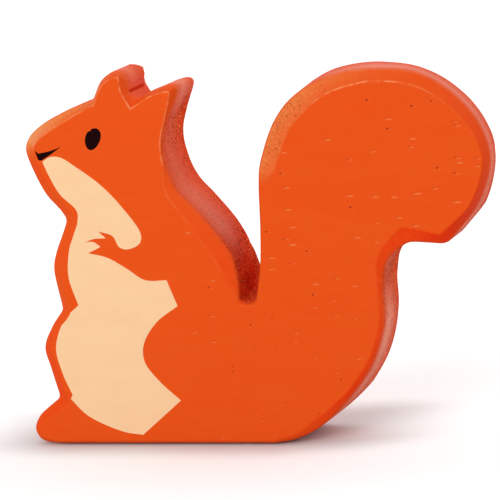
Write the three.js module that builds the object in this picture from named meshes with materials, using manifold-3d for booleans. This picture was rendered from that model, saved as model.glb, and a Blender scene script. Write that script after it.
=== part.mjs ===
// A chunky wooden toy squirrel: one board sawn to a silhouette, its edges sanded to a bevel that
// widens and narrows on the way round, and three ink prints on each face.
// Millimetres. X runs from the nose to the tail, -Y is the face seen first, Z is up from the base.
import * as THREE from "three";
import { mergeVertices } from "three/addons/utils/BufferGeometryUtils.js";
import Module from "manifold-3d";

// Board and ink
const boardThickness = 18;
const inkThickness = 0.1;
const printMargin = 0.3; // bare wood between a print and the inner edge of the bevel
const inkGap = 0.35; // bare wood between the mouth and the belly

// Landmarks of the silhouette
const baseLeft = -42.2;
const baseRight = 2.6;
const toeX = -47.2;
const noseX = -45.0;
const noseZ = 59.8;
const earTopZ = 74.6;
const rearEarX = -12.7;
const rearEarZ = 71.6;
const slotLeft = -2.8; // the slot between the back and the tail
const slotRight = 0.3;
const slotFloor = 28.3;
const tailX = 24.8; // middle of the round end of the tail
const tailZ = 51.2;
const tailHalfWidth = 22.4;
const tailHalfHeight = 21.9;

// Eye: a leaning oval, placed from the nose
const eyeFromNoseX = 14.7;
const eyeFromNoseZ = 1.8;
const eyeLength = 4.5;
const eyeWidth = 3.0;
const eyeLean = 25; // degrees from upright, towards the tail

// Facets
const facetTurn = 8; // most degrees that the outline turns between two points
const cornerSteps = 4; // facets round a softened corner
const eyeFacets = 36;

// Sanded edges: how far the bevel reaches in over the face and down the edge, and how far the sawn wall
// leans out on its way to the back
const bevels = {
  base: { inset: 0.6, drop: 0.6, lean: 0 },
  rump: { inset: 1.9, drop: 0.9, lean: 1.2 },
  haunch: { inset: 1.2, drop: 0.8, lean: 1.6 },
  tailInside: { inset: 1.0, drop: 0.7, lean: 0 },
  tailHook: { inset: 2.8, drop: 0.9, lean: 0.5 },
  tailTip: { inset: 2.2, drop: 2.2, lean: 0.65 },
  tailUnder: { inset: 1.2, drop: 3.2, lean: 0.7 },
  tailOutside: { inset: 1.1, drop: 3.2, lean: -0.75 },
  tailRise: { inset: 2.1, drop: 2.9, lean: -0.7 },
  tailCrown: { inset: 2.1, drop: 2.9, lean: 0.1 },
  tailSlope: { inset: 2.9, drop: 2.75, lean: 0.5 },
  tailFront: { inset: 3.7, drop: 2.6, lean: 0.4 },
  tailRoot: { inset: 3.2, drop: 0.7, lean: 0.2 },
  slotMouth: { inset: 0.8, drop: 0.5, lean: 0 },
  slot: { inset: 0.3, drop: 0.4, lean: 0 },
  slotTop: { inset: 2.4, drop: 0.6, lean: 0 },
  back: { inset: 3.3, drop: 0.7, lean: 0 },
  backTop: { inset: 3.3, drop: 0.7, lean: 0.4 },
  shoulder: { inset: 2.0, drop: 0.6, lean: 0.6 },
  nape: { inset: 0.4, drop: 0.6, lean: 0.2 },
  neck: { inset: 0.4, drop: 0.6, lean: -0.8 },
  rearEar: { inset: 1.1, drop: 2.7, lean: 0 },
  earValley: { inset: 0.75, drop: 2.7, lean: -0.2 },
  earSide: { inset: 0.9, drop: 2.7, lean: -0.5 },
  frontEar: { inset: 1.1, drop: 2.7, lean: 0 },
  earFront: { inset: 1.1, drop: 2.7, lean: 0.3 },
  earRoot: { inset: 1.1, drop: 2.7, lean: 0 },
  brow: { inset: 1.8, drop: 2.0, lean: 0 },
  nose: { inset: 2.2, drop: 2.0, lean: 0 },
  chest: { inset: 2.4, drop: 1.8, lean: 0 },
  waist: { inset: 1.7, drop: 1.7, lean: 0 },
  fold: { inset: 1.2, drop: 1.5, lean: 0 },
  belly: { inset: 2.1, drop: 1.8, lean: 0 },
  foot: { inset: 1.4, drop: 1.2, lean: 0 },
};

// A point of the round end of the tail, in shares of its half width and half height
const onTail = (across, up, bevel) => [tailX + across * tailHalfWidth, tailZ + up * tailHalfHeight, bevel];
const fromNose = (dx, dz, bevel) => [noseX + dx, noseZ + dz, bevel];

// Corners where two smooth runs of the silhouette meet
const hook = [30.8, 39.8];
const tailTip = onTail(0.595, -0.565);
const rearEarTip = [rearEarX, rearEarZ];
const earValley = [-21.9, 68.35];
const frontEarTip = [-23.2, earTopZ];
const earRoot = [-30.5, 69.1];
const waist = [-39.7, 27.2];
const ankle = [-41.7, 9.2];

// The silhouette, anticlockwise from the base. Each run is a smooth curve through its points. It starts at a
// corner with the bevel given there, and the corner is softened over the length in soft. A third entry in a
// point sets the bevel there too, and the bevel eases from one such place to the next.
const silhouette = [
  { soft: 0, bevel: bevels.base, points: [[baseLeft, 0], [baseRight, 0]] },
  {
    soft: 0, // rump and inside of the tail
    bevel: bevels.base,
    points: [
      [baseRight, 0],
      [6.6, 0.7],
      [11.4, 3.0, bevels.rump],
      [18.4, 9.6, bevels.haunch],
      [23.0, 16.1],
      [25.5, 23.5, bevels.tailInside],
      [25.7, 31.0, bevels.tailInside],
      [26.7, 36.0],
      hook,
    ],
  },
  { soft: 1.6, bevel: bevels.tailHook, points: [hook, [34.6, 39.3], tailTip] },
  {
    soft: 1.5, // tail, from its tip over the crown to the slot
    bevel: bevels.tailTip,
    points: [
      tailTip,
      onTail(0.68, -0.47),
      onTail(0.85, -0.265, bevels.tailUnder),
      onTail(0.96, -0.03),
      onTail(1.0, 0.21, bevels.tailOutside),
      onTail(0.93, 0.46),
      onTail(0.74, 0.725),
      onTail(0.42, 0.945, bevels.tailRise),
      onTail(0, 1.0, bevels.tailCrown),
      onTail(-0.4, 0.935, bevels.tailSlope),
      onTail(-0.68, 0.78, bevels.tailFront),
      onTail(-0.86, 0.57, bevels.tailFront),
      onTail(-0.97, 0.31, bevels.tailFront),
      onTail(-1.0, 0.15, bevels.tailRoot),
      onTail(-1.01, 0, bevels.slotMouth),
      [2.0, 41.5, bevels.slot],
      [1.5, 35.0],
      [slotRight, slotFloor],
    ],
  },
  { soft: 1.3, bevel: bevels.slot, points: [[slotRight, slotFloor], [slotLeft, slotFloor]] },
  {
    soft: 1.3, // back and nape
    bevel: bevels.slot,
    points: [
      [slotLeft, slotFloor],
      [-3.0, 32.7, bevels.slotTop],
      [-3.8, 37.4, bevels.back],
      [-6.8, 42.2, bevels.backTop],
      [-11.4, 47.7],
      [-14.4, 51.2, bevels.shoulder],
      [-16.1, 56.3, bevels.nape],
      [-16.3, 60.6],
      [-15.3, 64.4, bevels.neck],
      [-13.8, 67.9],
      rearEarTip,
    ],
  },
  { soft: 2.0, bevel: bevels.rearEar, points: [rearEarTip, [-15.2, 71.4], [-18.2, 70.5], earValley] },
  { soft: 1.8, bevel: bevels.earValley, points: [earValley, [-23.0, 70.5, bevels.earSide], frontEarTip] },
  {
    soft: 2.8,
    bevel: bevels.frontEar,
    points: [frontEarTip, [-25.4, 74.6], [-28.5, 72.8, bevels.earFront], earRoot],
  },
  {
    soft: 0.6, // brow, snout, throat and chest
    bevel: bevels.earRoot,
    points: [
      earRoot,
      [-36.3, 67.0, bevels.brow],
      fromNose(3.2, 4.3),
      fromNose(0.8, 2.1),
      fromNose(0, -0.1, bevels.nose),
      fromNose(0.8, -3.4),
      [-41.4, 50.5, bevels.chest],
      [-38.6, 47.1],
      [-37.7, 45.4],
      [-38.2, 43.6],
      [-40.3, 38.7],
      [-41.0, 35.6, bevels.chest],
      waist,
    ],
  },
  {
    soft: 0.8, // belly
    bevel: bevels.waist,
    points: [waist, [-42.2, 23.8, bevels.fold], [-44.1, 19.6, bevels.belly], [-43.2, 15.2], ankle],
  },
  {
    soft: 1.0, // foot
    bevel: bevels.belly,
    points: [
      ankle,
      [-43.8, 7.6],
      [-46.2, 5.4],
      [toeX, 3.0, bevels.foot],
      [-46.5, 1.2],
      [-45.2, 0.36],
      [baseLeft, 0],
    ],
  },
];

// The mouth: a long stroke back from the lip and a short one down
const mouthRuns = [
  [fromNose(2.6, -0.2), fromNose(3.3, -0.8)],
  [fromNose(3.3, -0.8), fromNose(5.6, -0.4), fromNose(8.0, 0.4)],
  [fromNose(8.0, 0.4), fromNose(5.6, -1.2), fromNose(3.8, -2.2)],
  [fromNose(3.8, -2.2), fromNose(3.2, -2.1)],
  [fromNose(3.2, -2.1), fromNose(2.6, -0.2)],
];

// The pale front: throat line, paw with three fingers, forearm, thigh, shin and the edge along the bevel.
// Each run is smooth and starts at a sharp corner.
const chin = fromNose(4.0, -2.1 - inkGap);
const upperFingertip = [-30.6, 43.2];
const upperFingerGap = [-29.1, 41.8];
const middleFingertip = [-33.4, 41.1];
const lowerFingerGap = [-30.3, 40.1];
const lowerFingertip = [-33.0, 38.9];
const flankTop = [-17.3, 33.2];
const flankFoot = [-15.4, 28.0];
const knee = [-16.0, 8.9];
const shin = [-24.3, 1.9];
const heelFoot = [-38.8, 9.3];
const heelTop = [-38.4, 10.2];
const bellyFold = [-35.8, 28.4];
const bellyRuns = [
  [chin, fromNose(5.6, -1.2 - inkGap), [-37.3, 58.1], [-33.9, 55.9], [-29.4, 52.4], [-25.5, 48.1],
    [-21.9, 42.5], [-22.3, 40.6], [-24.9, 39.5], [-26.5, 40.0], [-27.7, 42.2], upperFingertip],
  [upperFingertip, upperFingerGap],
  [upperFingerGap, [-31.6, 41.7], middleFingertip],
  [middleFingertip, [-31.7, 41.1], lowerFingerGap],
  [lowerFingerGap, [-31.8, 39.4], lowerFingertip],
  [lowerFingertip, [-29.1, 37.9], [-25.2, 35.6], [-21.7, 33.3], flankTop],
  [flankTop, flankFoot],
  [flankFoot, [-20.1, 24.6], [-22.9, 20.2], [-22.9, 16.8], [-20.2, 12.9], knee],
  [knee, shin],
  [shin, [-28.4, 2.6], [-35.5, 5.9], heelFoot],
  [heelFoot, heelTop],
  [heelTop, [-40.1, 14.5], [-41.1, 19.8], [-39.0, 25.4], bellyFold],
  [bellyFold, [-37.4, 34.4], [-36.6, 40.5], [-34.7, 45.1], [-34.7, 47.4], [-37.9, 50.8],
    fromNose(5.1, -5.2), chin],
];

const wasm = await Module();
wasm.setup();

const inwards = (along) => new THREE.Vector2(-along.y, along.x);
const lastOf = (list) => list[list.length - 1];

// Points along a smooth curve through the given ones, with no more than facetTurn between two of them. Each
// has its place, its direction and, at a given point, the bevel set there.
function sampleRun(points) {
  const corners = points.map(([x, z]) => new THREE.Vector3(x, z, 0));
  const curve = new THREE.CatmullRomCurve3(corners, false, "centripetal");
  const spans = points.length - 1;
  const samples = [];
  const sampleAt = (span, bevel) => {
    const { x, y } = curve.getPoint(span / spans);
    const along = curve.getTangent(span / spans);
    samples.push({ at: new THREE.Vector2(x, y), along: new THREE.Vector2(along.x, along.y), bevel });
  };
  for (let span = 0; span < spans; span++) {
    const [start, middle, end] = [0, 0.5, 1].map((share) => curve.getTangent((span + share) / spans));
    const turn = THREE.MathUtils.radToDeg(start.angleTo(middle) + middle.angleTo(end));
    const steps = Math.max(1, Math.ceil(turn / facetTurn));
    sampleAt(span, points[span][2]);
    for (let step = 1; step < steps; step++) sampleAt(span + step / steps);
  }
  sampleAt(spans, points[spans][2]);
  return samples;
}

// Takes the corner off the start of a run: the sample on it, and the given length after it.
function cutBack(samples, length) {
  if (length === 0) return samples.slice(1);
  let left = length;
  let first = 0;
  let step = samples[0].at.distanceTo(samples[1].at);
  while (step < left && first < samples.length - 2) {
    left -= step;
    first++;
    step = samples[first].at.distanceTo(samples[first + 1].at);
  }
  const [before, after] = samples.slice(first, first + 2);
  const at = before.at.clone().lerp(after.at, left / step);
  return [{ at, along: before.along }, ...samples.slice(first + 1)];
}

// The whole silhouette as one closed list of samples. The samples of a softened corner lie on a quadratic
// curve, and they share the corner, where the bevels of its two sides mitre.
function traceSilhouette(runs) {
  const around = (list, index) => list[(index + list.length) % list.length];
  const whole = runs.map((run) => sampleRun(run.points));
  const cut = runs.map((run, i) => {
    const started = cutBack(whole[i], run.soft);
    return cutBack(started.reverse(), around(runs, i + 1).soft).reverse();
  });
  return runs.flatMap((run, i) => {
    const [{ at, along }] = whole[i];
    const normals = [inwards(lastOf(around(whole, i - 1)).along), inwards(along)];
    const corner = { at, normals, bevel: run.bevel };
    if (run.soft === 0) return [{ at, along, corner, bevel: run.bevel }, ...cut[i]];
    const rounded = new THREE.QuadraticBezierCurve(lastOf(around(cut, i - 1)).at, at, cut[i][0].at);
    const softened = [];
    for (let step = 1; step < cornerSteps; step++) {
      const share = step / cornerSteps;
      const place = { at: rounded.getPoint(share), along: rounded.getTangent(share) };
      softened.push({ ...place, corner, bevel: run.bevel });
    }
    return [...softened, ...cut[i]];
  });
}

// The bevel at every sample, eased along the outline between the samples that have one set.
function easeBevels(outline) {
  const after = (i) => (i + 1) % outline.length;
  const eased = outline.map((sample) => sample.bevel);
  outline.forEach(({ bevel: from }, start) => {
    if (!from) return;
    const stretch = [start];
    const reached = [0];
    do {
      const i = lastOf(stretch);
      stretch.push(after(i));
      reached.push(lastOf(reached) + outline[i].at.distanceTo(outline[after(i)].at));
    } while (!outline[lastOf(stretch)].bevel);
    const to = outline[lastOf(stretch)].bevel;
    stretch.slice(0, -1).forEach((i, k) => {
      const share = reached[k] / lastOf(reached);
      eased[i] = {
        inset: THREE.MathUtils.lerp(from.inset, to.inset, share),
        drop: THREE.MathUtils.lerp(from.drop, to.drop, share),
        lean: THREE.MathUtils.lerp(from.lean, to.lean, share),
      };
    });
  });
  return eased;
}

function distanceToSegment(point, a, b) {
  const along = b.clone().sub(a);
  const share = THREE.MathUtils.clamp(point.clone().sub(a).dot(along) / along.lengthSq(), 0, 1);
  return point.distanceTo(a.clone().addScaledVector(along, share));
}

// The inner edge of the bevel, or a line inside it by a margin: each sample moves in by its own inset, and a
// corner's samples all move to its mitre. Where the two sides of a corner would cross, the crossed samples
// share the place of the nearest one that is clear.
function insetRing(outline, eased, margin) {
  const clearShare = 0.97; // a moved sample nearer to the outline than this share of its inset has crossed
  const count = outline.length;
  const mitres = new Map();
  for (const { corner } of outline) {
    if (!corner || mitres.has(corner)) continue;
    const [a, b] = corner.normals;
    const reach = (corner.bevel.inset + margin) / (1 + a.dot(b));
    mitres.set(corner, corner.at.clone().addScaledVector(a, reach).addScaledVector(b, reach));
  }
  const moved = outline.map(({ at, along, corner }, i) =>
    corner ? mitres.get(corner) : at.clone().addScaledVector(inwards(along), eased[i].inset + margin),
  );
  const clear = moved.map((point, i) => {
    const least = (eased[i].inset + margin) * clearShare;
    const misses = ({ at }, j) => distanceToSegment(point, at, outline[(j + 1) % count].at) > least;
    return outline[i].corner !== undefined || outline.every(misses);
  });
  return moved.map((point, i) => {
    let away = 0;
    while (!clear[(i + away) % count] && !clear[(i - away + count) % count]) away++;
    return clear[(i + away) % count] ? moved[(i + away) % count] : moved[(i - away + count) % count];
  });
}

// A ring without the points that repeat the one before
const distinct = (ring) => ring.filter((point, i) => point !== ring[(i + ring.length - 1) % ring.length]);

// The board: flat faces inside the inset ring, the bevels round them and the sawn wall between.
function boardGeometry(outline, eased, inner) {
  const half = boardThickness / 2;
  const rear = outline.map(({ at, along }, i) => at.clone().addScaledVector(inwards(along), -eased[i].lean));
  const positions = [];
  const triangle = (...corners) => {
    for (const [point, y] of corners) positions.push(point.x, y, point.y);
  };
  outline.forEach(({ at: a }, i) => {
    const j = (i + 1) % outline.length;
    const b = outline[j].at;
    const [wallA, wallB] = [half - eased[i].drop, half - eased[j].drop];
    triangle([a, -wallA], [rear[j], wallB], [b, -wallB]);
    triangle([a, -wallA], [rear[i], wallA], [rear[j], wallB]);
    triangle([a, -wallA], [b, -wallB], [inner[i], -half]);
    triangle([rear[j], wallB], [rear[i], wallA], [inner[i], half]);
    if (inner[i] === inner[j]) return;
    triangle([b, -wallB], [inner[j], -half], [inner[i], -half]);
    triangle([inner[j], half], [rear[j], wallB], [inner[i], half]);
  });
  const contour = distinct(inner);
  for (const face of THREE.ShapeUtils.triangulateShape(contour, [])) {
    const [a, b, c] = face.map((index) => contour[index]);
    triangle([a, -half], [b, -half], [c, -half]);
    triangle([c, half], [b, half], [a, half]);
  }
  const geometry = new THREE.BufferGeometry();
  geometry.setAttribute("position", new THREE.Float32BufferAttribute(positions, 3));
  geometry.computeVertexNormals();
  return geometry;
}

// A flat plate over an outline in X and Z, from one Y to another
function plate(outline, yFront, yBack) {
  const depth = yBack - yFront;
  const geometry = new THREE.ExtrudeGeometry(new THREE.Shape(outline), { depth, bevelEnabled: false });
  return geometry.rotateX(Math.PI / 2).translate(0, yBack, 0);
}

function toSolid(geometry) {
  geometry.deleteAttribute("normal");
  geometry.deleteAttribute("uv");
  const { attributes, index } = mergeVertices(geometry);
  return new wasm.Manifold(
    new wasm.Mesh({
      numProp: 3,
      vertProperties: attributes.position.array,
      triVerts: new Uint32Array(index.array),
    }),
  );
}

function toGeometry(solid) {
  const { vertProperties, triVerts } = solid.getMesh();
  const geometry = new THREE.BufferGeometry();
  geometry.setAttribute("position", new THREE.BufferAttribute(vertProperties, 3));
  geometry.setIndex(new THREE.BufferAttribute(triVerts, 1));
  geometry.computeVertexNormals();
  return geometry;
}

// A closed outline of runs that meet at sharp corners
const closedOutline = (runs) => runs.flatMap((run) => sampleRun(run).slice(0, -1).map(({ at }) => at));

function eyeOutline() {
  const turned = THREE.MathUtils.degToRad(90 - eyeLean);
  const [x, z] = fromNose(eyeFromNoseX, eyeFromNoseZ);
  const oval = new THREE.EllipseCurve(x, z, eyeLength / 2, eyeWidth / 2, 0, 2 * Math.PI, false, turned);
  return oval.getPoints(eyeFacets).slice(0, -1);
}

const outline = traceSilhouette(silhouette);
const eased = easeBevels(outline);
const faceEdge = insetRing(outline, eased, 0);
const printEdge = distinct(insetRing(outline, eased, printMargin));

const squirrel = new THREE.Group();
function addPiece(name, geometry, color, roughness) {
  const mesh = new THREE.Mesh(geometry, new THREE.MeshStandardMaterial({ color, roughness, metalness: 0 }));
  mesh.name = name;
  squirrel.add(mesh);
}

addPiece("wood_body", boardGeometry(outline, eased, faceEdge), 0xe9561e, 0.5);

// The prints lie on both faces, alike, and stop short of the bevel.
const prints = [
  { name: "belly_print", outline: closedOutline(bellyRuns), color: 0xf9cea1, roughness: 0.6 },
  { name: "eye_print", outline: eyeOutline(), color: 0x1c1412, roughness: 0.5 },
  { name: "mouth_print", outline: closedOutline(mouthRuns), color: 0x1c1412, roughness: 0.5 },
];
const faces = { front: -boardThickness / 2 - inkThickness, back: boardThickness / 2 };
for (const [side, yFront] of Object.entries(faces)) {
  const yBack = yFront + inkThickness;
  const field = toSolid(plate(printEdge, yFront - inkThickness, yBack + inkThickness));
  for (const print of prints) {
    const film = toSolid(plate(print.outline, yFront, yBack)).intersect(field);
    addPiece(print.name + "_" + side, toGeometry(film), print.color, print.roughness);
  }
}

export default squirrel;
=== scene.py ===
import math

import bmesh
import bpy
import numpy as np
from mathutils import Matrix, Vector


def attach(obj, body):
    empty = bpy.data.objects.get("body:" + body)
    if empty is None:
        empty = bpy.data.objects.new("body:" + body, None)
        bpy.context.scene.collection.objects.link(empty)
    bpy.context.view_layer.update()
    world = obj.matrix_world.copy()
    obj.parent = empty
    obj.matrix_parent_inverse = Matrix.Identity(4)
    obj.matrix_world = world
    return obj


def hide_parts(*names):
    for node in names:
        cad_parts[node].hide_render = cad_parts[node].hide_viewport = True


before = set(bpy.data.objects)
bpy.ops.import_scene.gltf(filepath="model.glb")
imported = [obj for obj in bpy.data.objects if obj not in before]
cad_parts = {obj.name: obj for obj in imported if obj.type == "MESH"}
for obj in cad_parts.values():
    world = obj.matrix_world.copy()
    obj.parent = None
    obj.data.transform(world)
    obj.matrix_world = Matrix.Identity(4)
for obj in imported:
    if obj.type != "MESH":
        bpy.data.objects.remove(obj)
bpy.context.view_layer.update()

# A chunky toy squirrel: one sawn board with sanded edges, stained orange, printed on both faces.
# The dictionaries are in millimetres; meshes go into Blender in metres.
# X runs from the nose to the tail, -Y is the face that the camera sees, Z is up from the base.
scene = bpy.context.scene
mm = 0.001
hair = 0.000001  # a length too small to matter
weldReach = 0.0001  # between places that an inset drew together


# Curves in the plane of the board

nose = (-45.0, 59.8)
tail = {"x": 24.8, "z": 51.2, "halfWidth": 22.4, "halfHeight": 21.9}  # the round end of the tail


def fromNose(dx, dz, edge=None):  # a place measured from the tip of the nose
    return (nose[0] + dx, nose[1] + dz, edge)


def onTail(across, up, edge=None):  # in shares of the half width and half height
    return (tail["x"] + across * tail["halfWidth"], tail["z"] + up * tail["halfHeight"], edge)


# Centripetal Catmull-Rom: each span is a cubic through its two points, whose end slopes weigh the chords
# beside them by the square roots of their lengths. The ends are carried on straight.
def smoothRun(points, stepsPerSpan=60):
    through = np.array([point[:2] for point in points], float)
    carried = np.vstack([2 * through[0] - through[1], through, 2 * through[-1] - through[-2]])
    a, b, c, d = carried[:-3], carried[1:-2], carried[2:-1], carried[3:]
    knots = np.sqrt(np.linalg.norm(np.diff(carried, axis=0), axis=1))[:, None]
    ab, bc, cd = knots[:-2], knots[1:-1], knots[2:]
    leaving = ((b - a) / ab - (c - a) / (ab + bc) + (c - b) / bc) * bc
    arriving = ((c - b) / bc - (d - b) / (bc + cd) + (d - c) / cd) * bc
    t = np.linspace(0, 1, stepsPerSpan, endpoint=False)[None, :, None]
    b, c, leaving, arriving = (each[:, None, :] for each in (b, c, leaving, arriving))
    cubic = b + leaving * t
    cubic = cubic + (3 * (c - b) - 2 * leaving - arriving) * t ** 2
    cubic = cubic + (2 * (b - c) + leaving + arriving) * t ** 3
    return np.vstack([cubic.reshape(-1, 2), through[-1:]])


def lengthAlong(curve):  # the sum of the chords up to each point
    return np.concatenate([[0], np.cumsum(np.linalg.norm(np.diff(curve, axis=0), axis=1))])


def placesAt(curve, lengths):  # the curve's points at the given lengths along it
    reached = lengthAlong(curve)
    return np.column_stack([np.interp(lengths, reached, curve[:, axis]) for axis in (0, 1)])


def unit(vectors):  # each vector over its own length
    return vectors / np.linalg.norm(vectors, axis=-1, keepdims=True)


def inwardOf(along):  # the outline runs anticlockwise, so inwards is a quarter turn to the left
    return np.stack([-along[..., 1], along[..., 0]], axis=-1)


# A curve from start to end, drawn towards its control: the three weigh (1 - t) squared, t squared and twice
# t (1 - t).
def quadratic(start, control, end, t):
    return (1 - t) ** 2 * start + 2 * t * (1 - t) * control + t ** 2 * end


# The board
# An edge gives the bevel's reach over the face, its drop down the side, how far the sawn side leans out
# towards the back, how coarse the saw left the side, how far the arris of the face is rubbed and given a
# painted highlight, the painted light on the bevel, and the painted light on the side. In the last two, more
# than 0 is a painted highlight on the bevel and a painted sheen on the side, less than 0 is painted shade,
# and a bevel above 1 gets painted sheen too. A run starts at a corner, softened over a length, with the edge
# named there, and a name in a point sets the edge at that point. Between such places the edge eases.

board = {
    "halfThickness": 9.0,
    "spacing": 0.25,  # between places along the outline
    "cornerPlaces": 9,
    "faceArris": 0.3,  # reach of the rounding to each side of an arris
    "sideArris": 0.75,
    "arrisShare": 0.6,  # the most that a rounding takes of the way to the next arris
    "arrisSteps": 6,
    "sideSteps": 12,
    "clearShare": 0.995,  # of its inset that a place keeps from the outline, where no corner crosses it
    "waver": 0.05,  # unevenness of the hand-sanded side
    "waves": ((17, 0.4), (29, 2.1), (43, 4.0)),  # how many round the outline, and where each starts
    "wearHighlightPower": 1.5,  # how sharply the wear and painted highlight keep to the arris
    "sideWearHighlight": 0.3,  # of the side's arrises, beside the face's
    "bevelHighlightSpread": (0.7, 1.3),  # spread of the bevel's painted highlight, at its inner and its outer arris
    "sheen": (0.1, 2.5),  # painted sheen on the side: at its front, and how fast it grows before it fades to the back
    "bevelSheen": 0.6,  # painted sheen, where the bevel's painted highlight is above 1
    "coarseness": (0.6, 0.8),  # of the side: at its front, and how much more at the back
    "bevelPits": (0.75, 0.2),  # where the bevel has a painted highlight, and where it has painted shade
    "rearShade": 0.35,  # how much painted shade the side gets towards the back
    "sawMark": {"at": (-22.93, 70.35), "depth": 0.34, "width": 0.22},
    "edges": {
        "base": (0.6, 0.6, 0.0, 0.0, 0.0, 0.0, 0.0),
        "rump": (1.9, 0.9, 1.2, 0.3, 0.0, -0.5, 0.0),
        "haunch": (1.2, 0.8, 1.6, 0.5, 0.0, -1.0, 1.4),
        "thigh": (1.0, 0.7, 0.0, 0.6, 0.0, -0.6, 2.1),
        "tailInside": (1.0, 0.7, 0.0, 1.1, 0.05, -0.5, 0.6),
        "tailHook": (2.8, 0.9, 0.5, 0.9, 0.0, -0.7, 0.5),
        "tailTip": (2.2, 2.2, 0.65, 0.6, 0.0, -1.1, 1.0),
        "tailUnder": (1.2, 3.2, 0.7, 0.6, 0.0, -0.9, 1.0),
        "tailOutside": (1.1, 3.2, -0.75, 0.4, 0.0, -0.5, 0.75),
        "tailRise": (2.1, 2.9, -0.7, 0.2, 0.3, 0.0, 0.9),
        "tailCrown": (2.1, 2.9, 0.1, 0.1, 0.9, 0.15, 1.2),
        "tailSlope": (2.9, 2.75, 0.5, 0.4, 0.5, 0.5, 0.6),
        "tailFront": (3.7, 2.6, 0.4, 0.8, 0.15, 1.0, 0.0),
        "tailRoot": (3.2, 0.7, 0.2, 0.5, 0.0, 0.7, 0.0),
        "slotMouth": (0.8, 0.5, 0.0, 1.3, 0.0, 0.0, -0.2),
        "slot": (0.3, 0.4, 0.0, 1.6, 0.0, 0.0, -0.15),
        "slotTop": (2.4, 0.6, 0.8, 1.5, 0.05, -0.3, -0.2),
        "back": (3.3, 0.7, -0.2, 1.15, 0.1, -0.35, 0.55),
        "backTop": (3.3, 0.7, 0.4, 0.4, 0.07, -0.2, 1.35),
        "shoulder": (2.0, 0.6, 0.6, 0.25, 0.15, 0.0, 0.7),
        "nape": (0.4, 0.6, 0.2, 0.5, 0.6, 0.0, 0.5),
        "neck": (0.4, 0.6, -0.8, 1.2, 0.4, 0.0, 0.6),
        "rearEar": (1.1, 2.7, 0.0, 0.15, 0.9, 0.0, 1.1),
        "earValley": (0.75, 2.7, -0.2, 0.2, 0.8, 0.0, 0.1),
        "earSide": (0.9, 2.7, -0.5, 0.2, 0.8, 0.0, 0.0),
        "frontEar": (1.1, 2.7, 0.0, 0.2, 0.6, 0.1, 0.6),
        "earFront": (1.1, 2.7, 0.3, 0.2, 0.4, 0.2, 0.9),
        "earRoot": (1.1, 2.7, 0.0, 0.2, 0.5, 0.6, 0.5),
        "brow": (1.8, 2.0, 0.0, 0.1, 0.4, 0.9, 0.0),
        "bridge": (2.1, 2.0, 0.0, 0.1, 0.3, 1.5, 0.0),
        "nose": (2.2, 2.0, 0.0, 0.1, 0.1, 0.5, 0.0),
        "throat": (2.25, 1.95, 0.0, 0.1, 0.0, -0.4, 0.0),
        "chest": (2.4, 1.8, 0.0, 0.2, 0.0, 0.0, 0.0),
        "waist": (1.7, 1.7, 0.0, 0.2, 0.0, 0.0, 0.0),
        "fold": (1.2, 1.5, 0.0, 0.2, 0.0, -0.2, 0.0),
        "belly": (2.1, 1.8, 0.0, 0.2, 0.0, -0.4, 0.0),
        "foot": (1.4, 1.2, 0.0, 0.2, 0.0, -0.2, 0.0),
    },
    "runs": [
        (0.0, "base", [(-42.2, 0.0), (2.6, 0.0)]),
        (0.0, "base", [  # rump and inside of the tail
            (2.6, 0.0), (6.6, 0.7), (11.4, 3.0, "rump"), (18.4, 9.6, "haunch"), (23.0, 16.1),
            (25.5, 23.5, "thigh"), (25.7, 31.0, "tailInside"), (26.7, 36.0), (30.8, 39.8)]),
        (1.6, "tailHook", [(30.8, 39.8), (34.6, 39.3), onTail(0.595, -0.565)]),
        (1.5, "tailTip", [  # tail, from its tip over the crown to the slot
            onTail(0.595, -0.565), onTail(0.68, -0.47), onTail(0.85, -0.265, "tailUnder"),
            onTail(0.96, -0.03), onTail(1.0, 0.21, "tailOutside"), onTail(0.93, 0.46), onTail(0.74, 0.725),
            onTail(0.42, 0.945, "tailRise"), onTail(0, 1.0, "tailCrown"), onTail(-0.4, 0.935, "tailSlope"),
            onTail(-0.68, 0.78, "tailFront"), onTail(-0.86, 0.57, "tailFront"),
            onTail(-0.97, 0.31, "tailFront"), onTail(-1.0, 0.15, "tailRoot"), onTail(-1.01, 0, "slotMouth"),
            (2.0, 41.5, "slot"), (1.5, 35.0), (0.3, 28.3)]),
        (1.3, "slot", [(0.3, 28.3), (-2.8, 28.3)]),
        (1.3, "slot", [  # back and nape
            (-2.8, 28.3), (-3.0, 32.7, "slotTop"), (-3.8, 37.4, "back"), (-6.8, 42.2, "backTop"),
            (-11.4, 47.7), (-14.4, 51.2, "shoulder"), (-16.1, 56.3, "nape"), (-16.3, 60.6),
            (-15.3, 64.4, "neck"), (-13.8, 67.9), (-12.7, 71.6)]),
        (2.0, "rearEar", [(-12.7, 71.6), (-15.2, 71.4), (-18.2, 70.5), (-21.9, 68.35)]),
        (1.8, "earValley", [(-21.9, 68.35), (-23.0, 70.5, "earSide"), (-23.2, 74.6)]),
        (2.8, "frontEar", [(-23.2, 74.6), (-25.4, 74.6), (-28.5, 72.8, "earFront"), (-30.5, 69.1)]),
        (0.6, "earRoot", [  # brow, snout, throat and chest
            (-30.5, 69.1), (-36.3, 67.0, "brow"), fromNose(3.2, 4.3), fromNose(0.8, 2.1, "bridge"),
            fromNose(0, -0.1, "nose"), fromNose(0.8, -3.4, "throat"), (-41.4, 50.5, "chest"), (-38.6, 47.1),
            (-37.7, 45.4), (-38.2, 43.6), (-40.3, 38.7), (-41.0, 35.6, "chest"), (-39.7, 27.2)]),
        (0.8, "waist", [  # belly
            (-39.7, 27.2), (-42.2, 23.8, "fold"), (-44.1, 19.6, "belly"), (-43.2, 15.2), (-41.7, 9.2)]),
        (1.0, "belly", [  # foot
            (-41.7, 9.2), (-43.8, 7.6), (-46.2, 5.4), (-47.2, 3.0, "foot"), (-46.5, 1.2), (-45.2, 0.36),
            (-42.2, 0.0)]),
    ],
}


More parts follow.
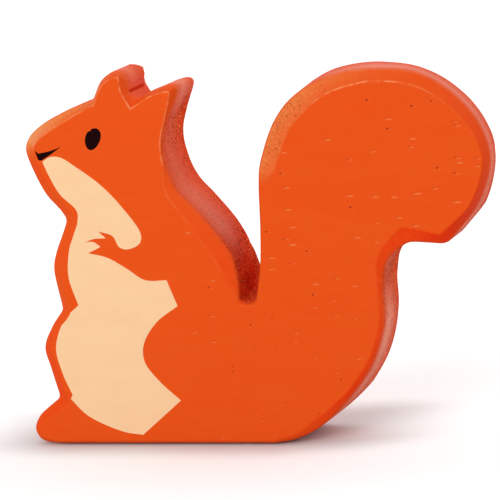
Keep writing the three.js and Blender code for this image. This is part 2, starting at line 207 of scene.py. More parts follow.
# The closed outline, run by run. A softened corner is a quadratic curve between the ends of its two runs.
# Each place has the point it moves from and the direction it moves in when the outline is inset: its own
# normal on a run, and the corner and its mitre in a corner.
def traceBoard():
    edges, runs = board["edges"], board["runs"]
    curves = [smoothRun(points) for _, _, points in runs]
    slopes = [unit(np.gradient(curve, axis=0)) for curve in curves]
    parts, keyPlaces, keyEdges, count = [], [], [], 0
    for i, (soft, edgeName, points) in enumerate(runs):
        curve, slope, before = curves[i], slopes[i], curves[i - 1]
        reached = lengthAlong(curve)
        corner = curve[0]
        sides = inwardOf(np.array([slopes[i - 1][-1], slope[0]]))
        mitre = sides.sum(axis=0) / (1 + sides[0] @ sides[1])
        if soft:
            t = np.linspace(0, 1, board["cornerPlaces"] + 2)[1:-1, None]
            start = placesAt(before, [lengthAlong(before)[-1] - soft])
            end = placesAt(curve, [soft])
            bend = quadratic(start, corner, end, t)
            bendSlope = unit((1 - t) * (corner - start) + t * (end - corner))
        else:
            bend, bendSlope = corner[None], slope[:1]
        corners, mitres = (np.tile(each, (len(bend), 1)) for each in (corner, mitre))
        parts.append((bend, bendSlope, corners, mitres, True))
        keyPlaces += [count, count + len(bend) - 1]
        keyEdges += [edges[edgeName]] * 2
        count += len(bend)

        softNext = runs[(i + 1) % len(runs)][0]
        steps = math.ceil((reached[-1] - softNext - soft) / board["spacing"])
        lengths = np.linspace(soft, reached[-1] - softNext, steps + 1)
        lengths = lengths[0 if soft else 1:None if softNext else -1]
        run = placesAt(curve, lengths)
        runSlope = unit(np.column_stack([np.interp(lengths, reached, slope[:, axis]) for axis in (0, 1)]))
        parts.append((run, runSlope, run, inwardOf(runSlope), False))
        stepsPerSpan = (len(curve) - 1) // (len(points) - 1)
        for k, point in enumerate(points):
            if len(point) == 3 and point[2]:
                keyPlaces.append(count + int(np.argmin(abs(lengths - reached[k * stepsPerSpan]))))
                keyEdges.append(edges[point[2]])
        count += len(run)

    at, along, origin, push = (np.vstack([part[k] for part in parts]) for k in range(4))
    inCorner = np.concatenate([np.full(len(part[0]), part[4]) for part in parts])
    reached = lengthAlong(np.vstack([at, at[:1]]))
    total, reached = reached[-1], reached[:-1]
    outline = {"at": at, "inward": inwardOf(along), "origin": origin, "push": push, "inCorner": inCorner,
               "reached": reached, "turn": reached / total}
    names = ("inset", "drop", "lean", "coarse", "rubHighlight", "bevelPaintedLight", "sidePaintedLight")
    for name, values in zip(names, np.array(keyEdges).T):
        outline[name] = np.interp(reached, reached[keyPlaces], values, period=total)
    return outline


# The nearest place of a closed outline to each point: the foot of the shortest line to one of its segments
def nearestOn(points, outline):
    step = np.roll(outline, -1, axis=0) - outline
    offset = points[:, None] - outline
    share = np.clip((offset * step).sum(axis=2) / np.maximum((step ** 2).sum(axis=1), hair ** 2), 0, 1)
    miss = np.linalg.norm(offset - share[..., None] * step, axis=2)
    best = miss.argmin(axis=1)
    row = np.arange(len(points))
    return outline[best] + share[row, best][:, None] * step[best]


# The outline moved in by each place's own inset and a margin. Where the two sides of a corner would cross,
# the crossed places take the nearest clear one.
def insetRing(outline, margin):
    reach = outline["inset"] + margin
    moved = outline["origin"] + outline["push"] * reach[:, None]
    gap = np.linalg.norm(moved - nearestOn(moved, outline["at"]), axis=1)
    clear = outline["inCorner"] | (gap > board["clearShare"] * reach)
    count = len(moved)
    around = np.arange(3 * count)  # three times round, so that the search passes the outline's start
    clearAround = np.tile(clear, 3)
    last = np.maximum.accumulate(np.where(clearAround, around, -1))
    following = np.minimum.accumulate(np.where(clearAround, around, 3 * count)[::-1])[::-1]
    nearest = np.where(around - last <= following - around, last, following)
    return moved[nearest[count:2 * count] % count]


def ringAt(plan, depth):  # points of the board's plane, at a depth through it
    return np.column_stack([plan[:, 0], np.broadcast_to(depth, len(plan)), plan[:, 1]])


def addObject(name, data):
    thing = bpy.data.objects.new(name, data)
    scene.collection.objects.link(thing)
    return thing


# Puts rings of points into a mesh: quads between each ring and the next, and a flat face on the first and
# last ring. Rings run anticlockwise seen from the front and follow each other to the back. Places that an
# inset drew together are welded.
def meshOfRings(name, rings, attributes={}):
    levels, count = rings.shape[:2]
    i = np.arange(count)
    row = np.arange(levels - 1)[:, None] * count
    following = (i + 1) % count
    quads = np.stack([row + i, row + count + i, row + count + following, row + following], axis=2)
    faces = quads.reshape(-1, 4).tolist() + [i.tolist(), ((levels - 1) * count + i)[::-1].tolist()]
    mesh = bpy.data.meshes.new(name)
    mesh.from_pydata((rings.reshape(-1, 3) * mm).tolist(), [], faces)
    for label, values in attributes.items():
        layer = mesh.attributes.new(label, "FLOAT", "POINT")
        layer.data.foreach_set("value", values.ravel().astype(np.float32))
    smooth = np.ones(len(faces), bool)
    smooth[-2:] = False  # the two flat faces
    mesh.polygons.foreach_set("use_smooth", smooth)
    work = bmesh.new()
    work.from_mesh(mesh)
    bmesh.ops.remove_doubles(work, verts=work.verts, dist=weldReach * mm)
    work.to_mesh(mesh)
    work.free()
    return addObject(name, mesh)


# The board's surface: at each place of the outline a profile runs from the front face over a rounded arris,
# the bevel, a second arris and the sawn side to the back, and this profile is carried round the outline.
def makeBoard():
    outline = traceBoard()
    half, steps = board["halfThickness"], board["arrisSteps"]
    inner = insetRing(outline, 0)
    face = insetRing(outline, board["faceArris"])
    outer = outline["at"]
    rear = outer - outline["inward"] * outline["lean"][:, None]
    drop = outline["drop"]
    profile = [ringAt(face, -half), ringAt(inner, -half), ringAt(outer, drop - half),
               ringAt(rear, half - drop), ringAt(inner, half), ringAt(face, half)]

    def towards(start, end, reach):  # where an arris's rounding ends on the way to the next arris
        step = end - start
        width = np.linalg.norm(step, axis=1, keepdims=True)
        return start + step * np.minimum(reach / np.maximum(width, hair), board["arrisShare"])

    def rounded(k, reach):  # a quadratic curve over one arris; at a face it ends where the profile does
        t = np.linspace(0, 1, steps)[:, None, None]
        start = profile[k - 1] if k == 1 else towards(profile[k], profile[k - 1], reach)
        end = profile[k + 1] if k == 4 else towards(profile[k], profile[k + 1], reach)
        return quadratic(start, profile[k], end, t)

    frontFace, frontSide, backSide, backFace = (
        rounded(k, board[arris]) for k, arris in
        ((1, "faceArris"), (2, "sideArris"), (3, "sideArris"), (4, "faceArris")))
    share = np.linspace(0, 1, board["sideSteps"])[1:-1, None, None]
    side = frontSide[-1] + (backSide[0] - frontSide[-1]) * share
    rings = np.concatenate([frontFace, frontSide, side, backSide, backFace])

    # Shares of bevel and side along the profile, the spread of the bevel's painted highlight, the depth
    # through the side, and a hump of wear and painted highlight on each arris
    rise, none = np.linspace(0, 1, steps), np.zeros(steps)
    fall = 1 - rise
    level = np.ones(len(side))
    hump = np.sin(math.pi * rise) ** board["wearHighlightPower"]
    sideHump = board["sideWearHighlight"] * hump
    atInner, atOuter = board["bevelHighlightSpread"]

    def alongProfile(*parts):  # a column with the values of one arris or side after the other
        return np.concatenate(parts)[:, None]

    onBevel = alongProfile(rise, fall, 0 * level, rise, fall)
    onSide = alongProfile(none, rise, level, fall, none)
    highlightOnBevel = alongProfile(atInner * rise, atOuter * fall, 0 * level, atOuter * rise, atInner * fall)
    depth = alongProfile(none, none, share.ravel(), none + 1, none + 1)
    wearAndHighlight = alongProfile(hump, sideHump, 0 * level, sideHump, hump)

    # The side wavers by slow waves along the outline, and one saw cut runs across it at the front ear.
    turn = 2 * math.pi * outline["turn"]
    waver = np.mean([np.sin(count * turn + start) for count, start in board["waves"]], axis=0)
    mark = board["sawMark"]
    away = np.linalg.norm(outer - mark["at"], axis=1)
    cut = onSide ** 2 * np.exp(-(away / mark["width"]) ** 2)
    pushIn = onSide ** 2 * board["waver"] * waver + mark["depth"] * cut
    rings[:, :, 0] += pushIn * outline["inward"][:, 0]
    rings[:, :, 2] += pushIn * outline["inward"][:, 1]

    # Painted sheen grows behind the front arris of the side and fades to the back. Painted shade lies on some
    # bevels, in the slot and towards the back of the side, where the side is also coarser.
    bevelPaintedLight, sidePaintedLight = outline["bevelPaintedLight"], outline["sidePaintedLight"]
    frontSheen, sheenRise = board["sheen"]
    sheen = (1 - depth) * np.minimum(frontSheen + sheenRise * depth, 1)
    paintedSheen = onSide * sheen * np.maximum(sidePaintedLight, 0)
    paintedSheen = paintedSheen + board["bevelSheen"] * onBevel * np.maximum(bevelPaintedLight - 1, 0)
    paintedShade = onBevel * np.maximum(-bevelPaintedLight, 0)
    paintedShade = paintedShade + onSide * np.maximum(-sidePaintedLight, board["rearShade"] * depth)
    highlightPits, shadePits = board["bevelPits"]
    pitted = np.where(bevelPaintedLight > 0, highlightPits, shadePits) * np.minimum(abs(bevelPaintedLight), 1)
    frontCoarse, coarseRise = board["coarseness"]
    coarse = onSide * (frontCoarse + coarseRise * depth) + onBevel * pitted
    across = np.linalg.norm(np.diff(rings, axis=0), axis=2).cumsum(axis=0)
    attributes = {
        "along": np.broadcast_to(outline["reached"], rings.shape[:2]),
        "across": np.vstack([np.zeros_like(across[:1]), across]),
        "sawn": np.broadcast_to(np.maximum(onBevel, onSide), rings.shape[:2]),
        "wearAndHighlight": wearAndHighlight * outline["rubHighlight"],
        "paintedHighlight": highlightOnBevel * np.maximum(bevelPaintedLight, 0),
        "paintedSheen": paintedSheen,
        "paintedShade": paintedShade,
        "coarse": coarse * outline["coarse"],
        # the saw cut, whose groove the wood's colour darkens as painted shade
        "cut": cut,
    }
    piece = meshOfRings("squirrelBoard", rings, attributes)
    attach(piece, "root")
    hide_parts("wood_body")
    print("board:", rings.shape[1], "places round,", rings.shape[0], "across")
    return piece, outline


# The prints
# Each outline is a list of smooth runs that meet at sharp corners.

prints = {
    "thickness": 0.03,
    "sunk": 0.01,  # the film's underside lies this far in the wood
    "margin": 0.3,  # bare wood up to the bevel
    "spacing": 0.12,
    "mouth": [
        [fromNose(2.6, -0.2), fromNose(3.3, -0.8)],
        [fromNose(3.3, -0.8), fromNose(5.6, -0.4), fromNose(8.0, 0.4)],
        [fromNose(8.0, 0.4), fromNose(5.6, -1.2), fromNose(3.8, -2.2)],
        [fromNose(3.8, -2.2), fromNose(3.2, -2.1)],
        [fromNose(3.2, -2.1), fromNose(2.6, -0.2)],
    ],
    "belly": [
        [fromNose(4.0, -2.45), fromNose(5.6, -1.55), (-37.3, 58.1), (-33.9, 55.9), (-29.4, 52.4),
         (-25.5, 48.1), (-21.9, 42.5), (-22.3, 40.6), (-24.9, 39.5), (-26.5, 40.0), (-27.7, 42.2),
         (-30.6, 43.2)],
        [(-30.6, 43.2), (-29.1, 41.8)],
        [(-29.1, 41.8), (-31.6, 41.7), (-33.4, 41.1)],
        [(-33.4, 41.1), (-31.7, 41.1), (-30.3, 40.1)],
        [(-30.3, 40.1), (-31.8, 39.4), (-33.0, 38.9)],
        [(-33.0, 38.9), (-29.1, 37.9), (-25.2, 35.6), (-21.7, 33.3), (-17.3, 33.2)],
        [(-17.3, 33.2), (-15.4, 28.0)],
        [(-15.4, 28.0), (-20.1, 24.6), (-22.9, 20.2), (-22.9, 16.8), (-20.2, 12.9), (-16.0, 8.9)],
        [(-16.0, 8.9), (-24.3, 1.9)],
        [(-24.3, 1.9), (-28.4, 2.6), (-35.5, 5.9), (-38.8, 9.3)],
        [(-38.8, 9.3), (-38.4, 10.2)],
        [(-38.4, 10.2), (-40.1, 14.5), (-41.1, 19.8), (-39.0, 25.4), (-35.8, 28.4)],
        [(-35.8, 28.4), (-37.4, 34.4), (-36.6, 40.5), (-34.7, 45.1), (-34.7, 47.4), (-37.9, 50.8),
         fromNose(5.1, -5.2), fromNose(4.0, -2.45)],
    ],
}
eye = {"fromNose": (14.7, 1.8), "length": 4.5, "width": 3.0, "lean": 25.0, "places": 160,
       "uneven": {"depth": 0.03, "waves": 3, "start": 2.2},  # depths are shares of the radius
       "nick": {"depth": 0.14, "at": 52.0, "reach": 8.0}}  # degrees from the long end


def closedOutline(runs):  # places at even spacing along each run, one run after the other
    parts = []
    for points in runs:
        curve = smoothRun(points)
        length = lengthAlong(curve)[-1]
        steps = math.ceil(length / prints["spacing"])
        parts.append(placesAt(curve, np.linspace(0, length, steps, endpoint=False)))
    return np.vstack(parts)


# An ellipse that leans towards the tail, uneven by a slow wave, with a rounded nick where the ink missed
def eyeOutline():
    t = np.linspace(0, 2 * math.pi, eye["places"], endpoint=False)
    lean = math.radians(90 - eye["lean"])
    uneven, nick = eye["uneven"], eye["nick"]
    off = np.degrees(t) - nick["at"]
    radius = 1 + uneven["depth"] * np.cos(uneven["waves"] * t + uneven["start"])
    radius = radius - nick["depth"] * np.exp(-(off / nick["reach"]) ** 2)
    across, up = radius * eye["length"] / 2 * np.cos(t), radius * eye["width"] / 2 * np.sin(t)
    centre = np.array(nose) + eye["fromNose"]
    return centre + np.column_stack([across * math.cos(lean) - up * math.sin(lean),
                                     across * math.sin(lean) + up * math.cos(lean)])


# Which points a closed outline holds: a ray to the right crosses its segments an odd number of times.
def isInside(points, outline):
    x, z = points[:, :1], points[:, 1:]
    x0, z0 = outline.T
    x1, z1 = np.roll(outline, -1, axis=0).T
    spans = (z0 > z) != (z1 > z)
    rise = np.where(z1 == z0, 1, z1 - z0)
    return (spans & (x < x0 + (z - z0) / rise * (x1 - x0))).sum(axis=1) % 2 == 1


# A film of ink: its outline carried from the wood's face to the film's, and closed by flat faces.
def makePrint(name, outline, side, node):
    spin = np.cross(outline, np.roll(outline, -1, axis=0)).sum()
    outline = outline if spin > 0 else outline[::-1]
    half = board["halfThickness"]
    depths = (-half - prints["thickness"], -half + prints["sunk"])
    if side == "back":
        depths = (half - prints["sunk"], half + prints["thickness"])
    piece = meshOfRings(name, np.stack([ringAt(outline, depth) for depth in depths]))
    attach(piece, "root")
    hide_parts(node)
    return piece


# Both faces get each print. What would lie past the margin is moved to the nearest place on it.
def makePrints(outline):
    edge = insetRing(outline, prints["margin"])
    edge = edge[np.linalg.norm(edge - np.roll(edge, 1, axis=0), axis=1) > hair]
    shapes = {
        "belly": closedOutline(prints["belly"]),
        "eye": eyeOutline(),
        "mouth": closedOutline(prints["mouth"]),
    }
    made = {}
    for part, shape in shapes.items():
        inside = isInside(shape, edge)
        held = np.where(inside[:, None], shape, nearestOn(shape, edge))
        for side in ("front", "back"):
            name = part + side.capitalize() + "Print"
            made[name] = makePrint(name, held, side, part + "_print_" + side)
        print("print:", part, len(held), "places, trimmed at", int((~inside).sum()))
    return made


# Node helpers
# Each ramp in the dictionaries below gives where it starts and ends, and its values there.

def feed(tree, socket, value):  # a socket takes a link or a fixed value
    if isinstance(value, bpy.types.NodeSocket):
        tree.links.new(value, socket)
    else:
        socket.default_value = value


def addNode(tree, kind, settings={}, **inputs):
    node = tree.nodes.new("ShaderNode" + kind)
    for name, value in settings.items():
        setattr(node, name, value)
    for name, value in inputs.items():
        feed(tree, node.inputs[name], value)
    return node


def calc(tree, operation, *values):
    node = addNode(tree, "Math", {"operation": operation})
    for socket, value in zip(node.inputs, values):
        feed(tree, socket, value)
    return node.outputs[0]


def vectorCalc(tree, operation, *values):
    node = addNode(tree, "VectorMath", {"operation": operation})
    for socket, value in zip(node.inputs, values):
        feed(tree, socket, value)
    return node.outputs["Vector"]


def vectorLength(tree, vector):
    return addNode(tree, "VectorMath", {"operation": "LENGTH"}, Vector=vector).outputs["Value"]


def ramp(tree, value, fromLow, fromHigh, toLow, toHigh, soft=True):  # eased, or straight where not soft
    node = addNode(tree, "MapRange", {"interpolation_type": "SMOOTHSTEP" if soft else "LINEAR"})
    for name, entry in (("Value", value), ("From Min", fromLow), ("From Max", fromHigh), ("To Min", toLow),
                        ("To Max", toHigh)):
        feed(tree, node.inputs[name], entry)
    return node.outputs[0]


def mixColour(tree, share, first, second):
    node = addNode(tree, "Mix", {"data_type": "RGBA"})  # its sockets share names, so go by number
    for socket, value in ((node.inputs[0], share), (node.inputs[6], first), (node.inputs[7], second)):
        feed(tree, socket, value)
    return node.outputs[2]


def weighed(tree, shows, weights, total=0.0):  # the sum of what shows, each by its weight
    for name, weight in weights.items():
        total = calc(tree, "MULTIPLY_ADD", shows[name], weight, total)
    return total


def attribute(tree, name):  # a value kept on the points of the mesh
    return addNode(tree, "Attribute", {"attribute_name": name}).outputs["Fac"]


def placeInMm(tree):
    place = addNode(tree, "TexCoord").outputs["Object"]
    return addNode(tree, "VectorMath", {"operation": "SCALE"}, Vector=place, Scale=1 / mm).outputs["Vector"]


def inCells(tree, place, lengths):  # the place counted in cells of the given lengths
    return vectorCalc(tree, "DIVIDE", place, lengths)


def noise(tree, place, lengths, detail):  # cloudy, in cells of the given lengths
    node = addNode(tree, "TexNoise", Vector=inCells(tree, place, lengths), Scale=1.0, Detail=detail)
    return node.outputs["Fac"]


def flatCells(tree, place, lengths):  # uneven cells in a plane, each with three random draws
    counted = inCells(tree, place, (*lengths, 1))
    cells = addNode(tree, "TexVoronoi", {"voronoi_dimensions": "2D"}, Vector=counted, Scale=1.0).outputs
    draw = addNode(tree, "SeparateColor", Color=cells["Color"]).outputs
    return counted, cells, draw


def newMaterial(name):
    material = bpy.data.materials.new(name)
    material.use_nodes = True
    return material, material.node_tree, material.node_tree.nodes["Principled BSDF"]


# Stained wood: even orange over a faint lengthwise figure, open pores along the grain on the faces with a
# pale lip beside each, partly a painted highlight, pits and torn fibres where the saw left the side coarse, a
# painted highlight on some bevels and painted shade on others, in the slot and at the back of the side, a
# painted sheen on the side, painted shade in the saw cut, and arrises rubbed pale, partly wear and partly a
# painted highlight.

stainedWood = {
    "colour": (0.79, 0.091, 0.010, 1),
    "deep": (0.84, 0.026, 0.002, 1),
    "pit": (0.27, 0.011, 0.002, 1),
    "pore": (0.30, 0.006, 0.001, 1),
    "pale": (0.80, 0.31, 0.085, 1),
    "sheen": (0.92, 0.36, 0.245, 1),
    "lip": (0.95, 0.32, 0.11, 1),
    "bare": (0.97, 0.40, 0.17, 1),
    "layers": (  # what shows, how strongly, and in which of these colours, from the lowest up
        ("paintedHighlight", 0.42, "pale"), ("paintedSheen", 0.8, "sheen"), ("paintedShade", 0.7, "deep"),
        ("scratch", 0.45, "deep"), ("stroke", 0.16, "bare"), ("fibre", 0.9, "lip"),
        ("pit", 0.85, "pit"), ("pore", 0.75, "pore"), ("lip", 0.5, "lip"),
        ("rubbedHighlight", 0.8, "bare"), ("cut", 0.9, "deep"), ("cut", 0.5, "pit")),
    "onFace": (0.0, 0.25, 1.0, 0.0),  # ramp, from the face to the bevel
    "figureCell": (30.0, 9.0, 4.0),  # lengths along, through and across the grain
    "figureTone": (0.3, 0.7, 0.0, 0.08),  # ramp, as are the tones below
    "grainCell": (7.0, 1.6, 0.9),
    "grainTone": (0.35, 0.7, 0.0, 0.08),
    "poreCell": (4.2, 1.9),
    "poreClosed": (-18.0, 4.0, 0.99, 0.64),  # ramp of the share that is closed, from the breast to the tail
    "poreSize": (0.0, 1.0, 0.7, 1.2),  # ramp, by the draw
    "poreSizeUp": (15.0, 40.0, 0.6, 1.0),  # ramp: smaller low on the body
    "poreOffset": (0.0, 0.0),
    "poreHalf": (0.38, 0.26),
    "poreDraw": (0.3, 1.0, 0.12, 1.0),  # ramp of how dark
    # The pale lip lies to the right of and below its pore: part raised lip, part painted highlight where
    # light would catch the pore's lower rim.
    "lipOffset": (0.5, -0.13),
    "lipHalf": (0.9, 0.16),
    "lipDraw": (0.4, 1.0, 1.0, 0.2),  # ramp of how light
    "ovalFade": (0.35, 1.0, 1.0, 0.0),  # ramp, from the middle to the edge
    "spotSize": (0.0, 1.0, 0.6, 1.3),  # ramp, by the draw
    "spotCore": 0.3,  # share of the reach that is full
    "pitCells": ((0.75, 1.4), (0.36, 0.8)),  # large and small, along the edge and across it
    "pitReach": 0.36,  # in cells
    "pitCluster": (4.0, 4.0, 4.0),
    "pitCrowd": (0.35, 0.62, 0.2, 0.85),  # ramp of the share of cells with a pit
    "tornPits": -0.3,  # added to that where the side is torn, because fibres hide the pits
    "fewerPitsInHighlight": (0.0, 1.0, 1.0, 0.4),  # ramp: fewer under the bevel's painted highlight
    "smallPits": 0.85,  # strength, beside the large
    "veryCoarse": (0.9, 1.3, 0.0, 1.0),  # ramp
    "coarseTorn": 0.35,  # how much of a coarse side is torn
    "fibreCell": (0.4, 1.1),
    "fibreReach": 0.45,  # in cells
    "fibreShare": 0.62,  # of the cells
    "gritCell": (0.3, 0.3, 0.3),
    "gritTone": (0.4, 0.6, 0.0, 1.0),
    "strokeCell": (0.4, 1.4, 1.0),
    "strokeTone": (0.48, 0.68, 0.0, 1.0),
    "rubHighlightCell": (2.2, 2.2, 2.2),
    "rubHighlightTone": (0.38, 0.6, 0.1, 1.0),
    "gloss": (0.0, 1.0, 0.40, 0.46),  # ramp of the roughness, by the grit
    "cutDull": 3.0,
    "roughness": {"dull": 0.2, "pit": 0.4, "veryCoarse": 0.3},  # added to the gloss
    "height": {"lip": 0.4, "pore": -1.0, "pit": -1.0, "scratch": 0.6},
    "bump": 0.6,
    "bumpHeight": 0.15,
    "ior": 1.08,
}


def oval(tree, offset, centre, half, size):  # an ellipse: 1 in its middle, falling to 0 at its edge
    moved = vectorCalc(tree, "SUBTRACT", offset, (*centre, 0))
    scaled = vectorCalc(tree, "DIVIDE", moved, (*half, 1))
    return ramp(tree, calc(tree, "DIVIDE", vectorLength(tree, scaled), size), *stainedWood["ovalFade"])


# Spots at the middles of some flat cells, no two of a size: 1 inside, falling to 0 at a reach in cells
def spots(tree, place, lengths, reach, share):
    _, cells, draw = flatCells(tree, place, lengths)
    size = ramp(tree, draw["Green"], *stainedWood["spotSize"], soft=False)
    reached = calc(tree, "DIVIDE", cells["Distance"], size)
    spot = ramp(tree, reached, stainedWood["spotCore"] * reach, reach, 1.0, 0.0)
    return calc(tree, "MULTIPLY", spot, calc(tree, "LESS_THAN", draw["Red"], share))


def makeStainedWood():
    material, tree, shader = newMaterial("stainedWood")
    wood = stainedWood
    place = placeInMm(tree)
    along, across, wearAndHighlight = (attribute(tree, name) for name in ("along", "across", "wearAndHighlight"))
    edge = addNode(tree, "CombineXYZ", X=along, Y=across).outputs["Vector"]
    shows = {name: attribute(tree, name) for name in ("paintedHighlight", "paintedSheen", "paintedShade", "cut")}

    figure = ramp(tree, noise(tree, place, wood["figureCell"], detail=4.0), *wood["figureTone"])
    grain = ramp(tree, noise(tree, place, wood["grainCell"], detail=2.0), *wood["grainTone"])
    tone = calc(tree, "ADD", figure, grain)

    # Pores lie in cells of the face: few are open, and more of them towards the tail.
    axes = addNode(tree, "SeparateXYZ", Vector=place).outputs
    flat = addNode(tree, "CombineXYZ", X=axes["X"], Y=axes["Z"]).outputs["Vector"]
    counted, cells, draw = flatCells(tree, flat, wood["poreCell"])
    onFace = ramp(tree, attribute(tree, "sawn"), *wood["onFace"])
    opened = calc(tree, "GREATER_THAN", draw["Red"], ramp(tree, axes["X"], *wood["poreClosed"]))
    opened = calc(tree, "MULTIPLY", opened, onFace)
    size = ramp(tree, draw["Green"], *wood["poreSize"], soft=False)
    size = calc(tree, "MULTIPLY", size, ramp(tree, axes["Z"], *wood["poreSizeUp"]))
    offset = vectorCalc(tree, "SUBTRACT", counted, cells["Position"])
    offset = vectorCalc(tree, "MULTIPLY", offset, (*wood["poreCell"], 0))
    for name in ("pore", "lip"):
        strength = calc(tree, "MULTIPLY", opened, ramp(tree, draw["Blue"], *wood[name + "Draw"]))
        mark = oval(tree, offset, wood[name + "Offset"], wood[name + "Half"], size)
        shows[name] = calc(tree, "MULTIPLY", mark, strength)

    # Pits crowd in clusters on the coarse side, and fibres stand out where it is torn.
    coarse = attribute(tree, "coarse")
    veryCoarse = ramp(tree, coarse, *wood["veryCoarse"])
    coarse = calc(tree, "MINIMUM", coarse, 1.0)
    crowd = ramp(tree, noise(tree, place, wood["pitCluster"], detail=1.0), *wood["pitCrowd"])
    crowd = calc(tree, "MULTIPLY_ADD", veryCoarse, wood["tornPits"], crowd)
    crowd = calc(tree, "MULTIPLY", crowd, ramp(tree, shows["paintedHighlight"], *wood["fewerPitsInHighlight"]))
    large, small = (spots(tree, edge, cell, wood["pitReach"], crowd) for cell in wood["pitCells"])
    pit = calc(tree, "MAXIMUM", large, calc(tree, "MULTIPLY", small, wood["smallPits"]))
    torn = calc(tree, "MAXIMUM", veryCoarse, calc(tree, "MULTIPLY", coarse, wood["coarseTorn"]))
    fibre = spots(tree, edge, wood["fibreCell"], wood["fibreReach"], wood["fibreShare"])

    # Grit scratches the coarse side, strokes cross the bevel's painted highlight, and the wear and painted
    # highlight on the arrises are uneven.
    grit = ramp(tree, noise(tree, place, wood["gritCell"], detail=3.0), *wood["gritTone"])
    stroke = ramp(tree, noise(tree, edge, wood["strokeCell"], detail=2.0), *wood["strokeTone"])
    rubbedHighlight = ramp(tree, noise(tree, place, wood["rubHighlightCell"], detail=3.0), *wood["rubHighlightTone"])
    for name, share, where in (("pit", pit, coarse), ("fibre", fibre, torn), ("scratch", grit, coarse),
                               ("stroke", stroke, shows["paintedHighlight"]), ("rubbedHighlight", rubbedHighlight, wearAndHighlight)):
        shows[name] = calc(tree, "MULTIPLY", share, where)
    shows["veryCoarse"] = veryCoarse
    shows["dull"] = calc(tree, "MAXIMUM", coarse, calc(tree, "MULTIPLY", shows["cut"], wood["cutDull"]))

    colour = mixColour(tree, tone, wood["colour"], wood["deep"])
    # Some layers are painted light: the painted highlight, sheen and shade, the painted highlight on the
    # rubbed arrises, and painted shade in the saw cut.
    for name, strength, towards in wood["layers"]:
        colour = mixColour(tree, calc(tree, "MULTIPLY", shows[name], strength), colour, wood[towards])
    feed(tree, shader.inputs["Base Color"], colour)
    gloss = ramp(tree, grit, *wood["gloss"], soft=False)
    feed(tree, shader.inputs["Roughness"], weighed(tree, shows, wood["roughness"], gloss))
    shader.inputs["IOR"].default_value = wood["ior"]
    height = weighed(tree, shows, wood["height"])
    bump = addNode(tree, "Bump", Height=height, Strength=wood["bump"], Distance=wood["bumpHeight"] * mm)
    feed(tree, shader.inputs["Normal"], bump.outputs["Normal"])
    return material


# Ink: a thin matt film with a mottle from the printing

inkColours = {  # plain and mottled
    "creamInk": ((0.945, 0.617, 0.352, 1), (0.90, 0.56, 0.30, 1)),
    "blackInk": ((0.009, 0.0008, 0.001, 1), (0.022, 0.002, 0.001, 1)),
}
inkFinish = {
    "mottleCell": (9.0, 9.0, 4.0),
    "mottleTone": (0.35, 0.75, 0.0, 0.4),
    "fineCell": (0.9, 0.9, 0.4),
    "fineTone": (0.45, 0.75, 0.0, 0.25),
    "roughness": (0.3, 0.7, 0.5, 0.6),  # ramp, by the fine mottle
    "ior": 1.2,
    "specular": 0.1,
    "bump": 0.15,
    "bumpHeight": 0.05,
}


def makeInk(name):
    material, tree, shader = newMaterial(name)
    place = placeInMm(tree)
    mottle = ramp(tree, noise(tree, place, inkFinish["mottleCell"], detail=5.0), *inkFinish["mottleTone"])
    fine = noise(tree, place, inkFinish["fineCell"], detail=2.0)
    share = calc(tree, "ADD", mottle, ramp(tree, fine, *inkFinish["fineTone"]))
    feed(tree, shader.inputs["Base Color"], mixColour(tree, share, *inkColours[name]))
    feed(tree, shader.inputs["Roughness"], ramp(tree, fine, *inkFinish["roughness"]))
    shader.inputs["IOR"].default_value = inkFinish["ior"]
    shader.inputs["Specular IOR Level"].default_value = inkFinish["specular"]
    rise = inkFinish["bumpHeight"] * mm
    bump = addNode(tree, "Bump", Height=fine, Strength=inkFinish["bump"], Distance=rise)
    feed(tree, shader.inputs["Normal"], bump.outputs["Normal"])
    return material


# Studio: a pale floor, a white room that is brighter behind the toy, and one soft lamp to the upper left of
# the camera

studio = {
    "room": (-0.5, 0.5, 0.58, 1.42),  # ramp, from ahead of the toy to behind it
    "ceiling": (0.3, 1.0, 1.0, 0.75),  # ramp of the share that stays, up to overhead
    "horizon": (0.0, 0.35, 0.5, 1.0),  # and up from low down
    "rightward": (0.0, 0.6, -0.2, 0.5),  # ramp of how much more comes from the right, up from low down
    "floorHalf": 3000.0,
    "floorGap": 0.3,
    "floorColour": (0.70, 0.70, 0.70, 1),
    "floorRoughness": 0.9,
    "floorIor": 1.2,
    "floorGlow": ((0.0, 12.0, 0.36), (20.0, 60.0, 0.12)),  # whiter where seen directly: from, to, how much
    "glowGrowth": (0.42, 0.8, 0.0),  # how fast it grows to the sides, and to the front and back
    "baseMiddle": (-13.0, 3.0, 0.0),
    "baseHalf": (25.5, 9.5, 0.0),  # no glow within this
    "shadowFrom": 3.0,  # to the right of this the place without glow leans back, as the shadow falls
    "shadowLean": 0.27,
    "keyPlace": (-330.0, -1320.0, 600.0),
    "keyTarget": (0.0, 0.0, 35.0),
    "keySize": 750.0,
    "keyPower": 10.5,
}


def aimed(place, target):  # the turn that points a lamp or a camera at its target
    return (Vector(target) - Vector(place)).to_track_quat("-Z", "Y")


def seenDirectly(tree):  # 1 for what the camera sees, also in a reflection or through glass
    path = addNode(tree, "LightPath").outputs
    seen = calc(tree, "MAXIMUM", path["Is Camera Ray"], path["Is Glossy Ray"])
    return calc(tree, "MAXIMUM", seen, path["Is Transmission Ray"])


def makeRoom():  # lights the toy unevenly, and is plain white where seen
    world = bpy.data.worlds.new("whiteRoom")
    world.use_nodes = True
    tree = world.node_tree
    background = tree.nodes["Background"]
    background.inputs["Color"].default_value = (1, 1, 1, 1)
    direction = addNode(tree, "SeparateXYZ", Vector=addNode(tree, "TexCoord").outputs["Generated"]).outputs
    light = ramp(tree, direction["Y"], *studio["room"])
    for share in ("ceiling", "horizon"):
        light = calc(tree, "MULTIPLY", light, ramp(tree, direction["Z"], *studio[share]))
    lean = ramp(tree, direction["Z"], *studio["rightward"])
    light = calc(tree, "MULTIPLY", light, calc(tree, "MULTIPLY_ADD", direction["X"], lean, 1.0))
    feed(tree, background.inputs["Strength"], ramp(tree, seenDirectly(tree), 0, 1, light, 1.0, soft=False))
    scene.world = world
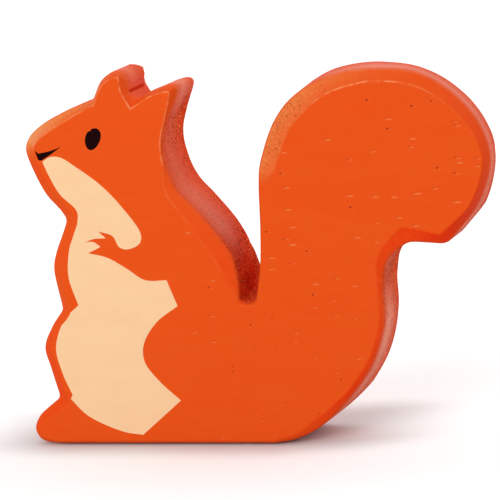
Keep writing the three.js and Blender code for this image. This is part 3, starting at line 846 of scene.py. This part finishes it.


# The floor as the camera sees it glows whiter with the distance from a box round the base, which is painted
# light.
# The shadow lies in the box, and past the base in the box sheared backwards, so the glow paints where the
# shadow fades out.
def makeFloor():
    half, z = studio["floorHalf"] * mm, -studio["floorGap"] * mm
    mesh = bpy.data.meshes.new("floor")
    corners = [(-half, -half, z), (half, -half, z), (half, half, z), (-half, half, z)]
    mesh.from_pydata(corners, [], [(0, 1, 2, 3)])
    floor = addObject("floor", mesh)
    material, tree, shader = newMaterial("paleFloor")
    shader.inputs["Base Color"].default_value = studio["floorColour"]
    shader.inputs["Roughness"].default_value = studio["floorRoughness"]
    shader.inputs["IOR"].default_value = studio["floorIor"]
    shader.inputs["Emission Color"].default_value = (1, 1, 1, 1)
    axes = addNode(tree, "SeparateXYZ", Vector=placeInMm(tree)).outputs
    pastBase = calc(tree, "MAXIMUM", calc(tree, "SUBTRACT", axes["X"], studio["shadowFrom"]), 0.0)
    backward = calc(tree, "MULTIPLY_ADD", pastBase, -studio["shadowLean"], axes["Y"])
    place = addNode(tree, "CombineXYZ", X=axes["X"], Y=backward).outputs["Vector"]
    aside = vectorCalc(tree, "ABSOLUTE", vectorCalc(tree, "SUBTRACT", place, studio["baseMiddle"]))
    outside = vectorCalc(tree, "SUBTRACT", aside, studio["baseHalf"])
    outside = vectorCalc(tree, "MAXIMUM", outside, (0, 0, 0))
    away = vectorLength(tree, vectorCalc(tree, "MULTIPLY", outside, studio["glowGrowth"]))
    glow = 0.0
    for start, end, more in studio["floorGlow"]:
        glow = calc(tree, "ADD", ramp(tree, away, start, end, 0.0, more), glow)
    feed(tree, shader.inputs["Emission Strength"], calc(tree, "MULTIPLY", seenDirectly(tree), glow))
    mesh.materials.append(material)


def makeLamp():
    lamp = bpy.data.lights.new("keyLamp", "AREA")
    lamp.shape = "DISK"
    lamp.size = studio["keySize"] * mm
    lamp.energy = studio["keyPower"]
    key = addObject("keyLamp", lamp)
    key.location = Vector(studio["keyPlace"]) * mm
    key.rotation_mode = "QUATERNION"
    key.rotation_quaternion = aimed(studio["keyPlace"], studio["keyTarget"])


# Camera: half a metre away, to the right of square on and a little above, tilted a few degrees

view = {
    "place": (113.0, -465.0, 122.0),
    "target": (-0.0574, -9.0, 38.9098),
    "roll": 3.5725,  # degrees, clockwise
    "lens": 176.82,
    "sensor": 36.0,
    "clip": (0.01, 100.0),  # metres
}


def makeCamera():
    lens = bpy.data.cameras.new("camera")
    lens.lens = view["lens"]
    lens.sensor_width = view["sensor"]
    lens.clip_start, lens.clip_end = view["clip"]
    camera = addObject("camera", lens)
    facing = aimed(view["place"], view["target"]).to_matrix().to_4x4()
    roll = Matrix.Rotation(-math.radians(view["roll"]), 4, "Z")
    camera.matrix_world = Matrix.Translation(Vector(view["place"]) * mm) @ facing @ roll
    scene.camera = camera


scene.view_settings.view_transform = "Standard"
makeCamera()
makeRoom()
makeFloor()
makeLamp()
print("studio: camera, floor, room and lamp")
woodBoard, boardOutline = makeBoard()
woodBoard.data.materials.append(makeStainedWood())
creamInk, blackInk = makeInk("creamInk"), makeInk("blackInk")
for name, film in makePrints(boardOutline).items():
    film.data.materials.append(creamInk if name.startswith("belly") else blackInk)
print("materials: stained wood, cream ink, black ink")
